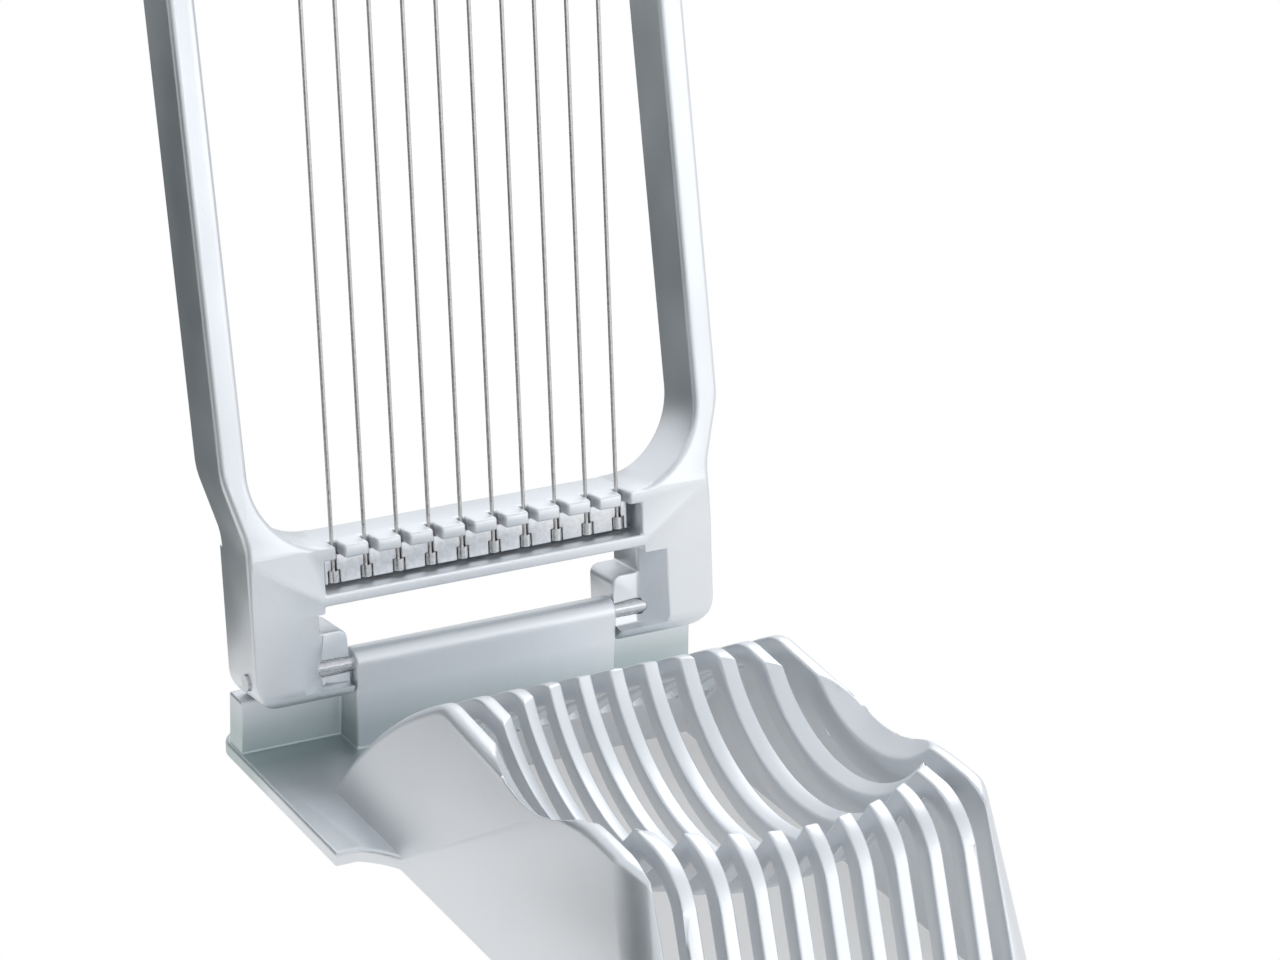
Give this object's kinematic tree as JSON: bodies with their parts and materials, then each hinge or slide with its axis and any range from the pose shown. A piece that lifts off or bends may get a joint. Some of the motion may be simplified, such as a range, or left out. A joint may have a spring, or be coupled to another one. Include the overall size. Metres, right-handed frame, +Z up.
{
  "type": "egg slicer",
  "caption": "Cast aluminium egg slicer: a slatted egg cradle on a hinge plate, with a hinged upright frame strung with parallel cutting wires.",
  "frame": {"origin": "on the underside of the base, straight below the middle of the hinge", "axes": "+X along the hinge, +Y to the back of the hinge plate, +Z up; the frame stands open"},
  "size_m": [0.0812, 0.1494, 0.1405],
  "materials": {
    "cast_aluminium": "satin cast, lightly polished",
    "bar_aluminium": "drawn bar, satin",
    "wire_steel": "bright drawn wire",
    "ferrule_steel": "bright crimped sleeve",
    "fastener_steel": "bright turned steel"
  },
  "bodies": {
    "base": {"base_casting": "cast_aluminium", "hinge_pin_left": "fastener_steel", "hinge_pin_right": "fastener_steel"},
    "frame": {"wire_frame": "cast_aluminium", "anchor_bar": "bar_aluminium", "cutting_wire_01": "wire_steel", "cutting_wire_02": "wire_steel", "cutting_wire_03": "wire_steel", "cutting_wire_04": "wire_steel", "cutting_wire_05": "wire_steel", "cutting_wire_06": "wire_steel", "cutting_wire_07": "wire_steel", "cutting_wire_08": "wire_steel", "cutting_wire_09": "wire_steel", "cutting_wire_10": "wire_steel", "anchor_ferrules": "ferrule_steel", "tension_ferrules": "ferrule_steel", "tension_bar": "bar_aluminium", "tension_screws": "fastener_steel", "tension_lock_nuts": "fastener_steel"}
  },
  "joints": [
    {"name": "frame_hinge", "type": "hinge", "parent": "base", "child": "frame", "pos_m": [0, 0, 0.0154], "axis": [1, 0, 0], "range_deg": [0, 100.7]}
  ]
}
